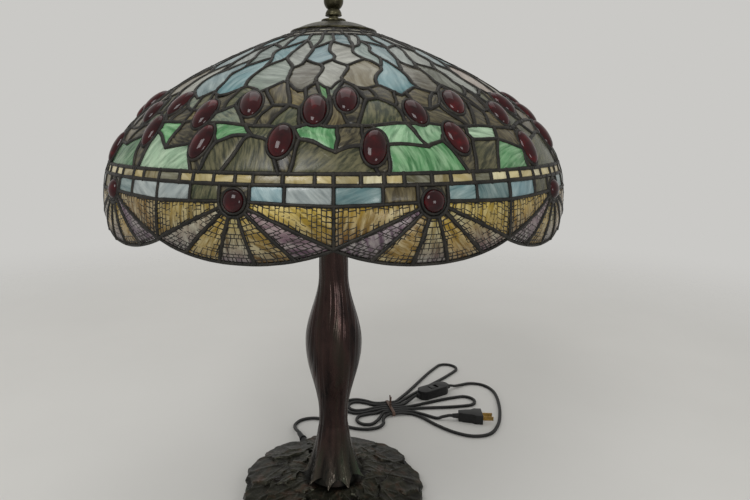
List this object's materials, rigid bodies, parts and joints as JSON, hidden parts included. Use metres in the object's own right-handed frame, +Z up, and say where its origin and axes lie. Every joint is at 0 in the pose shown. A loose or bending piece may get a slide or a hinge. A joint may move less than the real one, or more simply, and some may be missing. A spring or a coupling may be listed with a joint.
{
  "type": "table lamp",
  "caption": "Table lamp with a domed leaded glass shade on a cast bronze stem and base, with a mains lead, in-line switch and plug.",
  "frame": {"origin": "middle of the underside of the base, on the table", "axes": "+Z up along the stem; the lead leaves at the back, towards +Y"},
  "size_m": [0.552, 0.6704, 0.6304],
  "materials": {
    "felt": "dense wool felt",
    "steel": "plain steel",
    "dark_bronze": "cast bronze with a dark brown patina",
    "antique_bronze": "antique bronze",
    "brass": "plain brass",
    "bulb_metal": "bright screw base",
    "bulb_glass": "frosted white glass",
    "cream_glass": "opalescent cream glass",
    "pale_glass": "opalescent pale glass",
    "olive_glass": "mottled olive glass",
    "green_glass": "mottled green glass",
    "amber_glass": "streaky amber glass",
    "violet_glass": "streaky violet glass",
    "ruby_glass": "polished ruby cabochon",
    "lead": "dark patinated solder",
    "black_cord": "black vinyl flex",
    "tie": "brown plastic coated wire tie",
    "black_plastic": "moulded black plastic"
  },
  "bodies": {
    "root": {"felt_pad": "felt", "bottom_cover": "steel", "lamp_base": "dark_bronze", "base_washer": "steel", "base_nut": "brass", "stem": "dark_bronze", "threaded_pipe": "brass", "stem_collar": "antique_bronze", "collar_nut": "brass", "cluster_body": "antique_bronze", "riser_rod": "brass", "riser_nut": "brass", "shade_seat": "brass", "inner_cord": "black_cord", "socket_1_shell": "antique_bronze", "socket_2_shell": "antique_bronze", "socket_3_shell": "antique_bronze", "socket_1_liner": "brass", "socket_2_liner": "brass", "socket_3_liner": "brass", "socket_contacts": "brass", "cord_sleeve": "black_cord", "cord_lead": "black_cord", "cord_hank": "black_cord", "twist_tie": "tie", "switch_base": "black_plastic", "switch_cover": "black_plastic", "switch_pin": "steel", "switch_screws": "steel", "plug_body": "black_plastic", "plug_blades": "brass"},
    "finial": {"finial": "antique_bronze"},
    "shade": {"crown_glass": "cream_glass", "pale_glass": "pale_glass", "olive_glass": "olive_glass", "green_glass": "green_glass", "belt_glass": "cream_glass", "amber_petals": "amber_glass", "violet_petals": "violet_glass", "spandrel_glass": "pale_glass", "ruby_jewels": "ruby_glass", "hub_jewels": "ruby_glass", "lead_upper": "lead", "lead_middle": "lead", "lead_lower": "lead", "rim_wire": "lead", "spider": "brass", "aperture_ring": "antique_bronze", "vase_cap": "antique_bronze"},
    "rocker": {"switch_rocker": "black_plastic"},
    "bulb_1": {"bulb_1_base": "bulb_metal", "bulb_1_glass": "bulb_glass"},
    "bulb_2": {"bulb_2_base": "bulb_metal", "bulb_2_glass": "bulb_glass"},
    "bulb_3": {"bulb_3_base": "bulb_metal", "bulb_3_glass": "bulb_glass"}
  },
  "joints": [
    {"name": "finial_turn", "type": "hinge", "parent": "root", "child": "finial", "pos_m": [0, 0, 0.6], "axis": [0, 0, 1], "continuous": true},
    {"name": "shade_turn", "type": "hinge", "parent": "root", "child": "shade", "pos_m": [0, 0, 0.575], "axis": [0, 0, 1], "continuous": true},
    {"name": "bulb_1_turn", "type": "hinge", "parent": "root", "child": "bulb_1", "pos_m": [0, 0, 0.395], "axis": [0.7849, 0.4532, 0.4226], "continuous": true},
    {"name": "bulb_2_turn", "type": "hinge", "parent": "root", "child": "bulb_2", "pos_m": [0, 0, 0.395], "axis": [-0.7849, 0.4532, 0.4226], "continuous": true},
    {"name": "bulb_3_turn", "type": "hinge", "parent": "root", "child": "bulb_3", "pos_m": [0, 0, 0.395], "axis": [0, -0.9063, 0.4226], "continuous": true},
    {"name": "switch_rock", "type": "hinge", "parent": "root", "child": "rocker", "pos_m": [0.1795, 0.2805, 0.0126], "axis": [0.515, -0.8572, 0], "range_deg": [0, 24]}
  ]
}
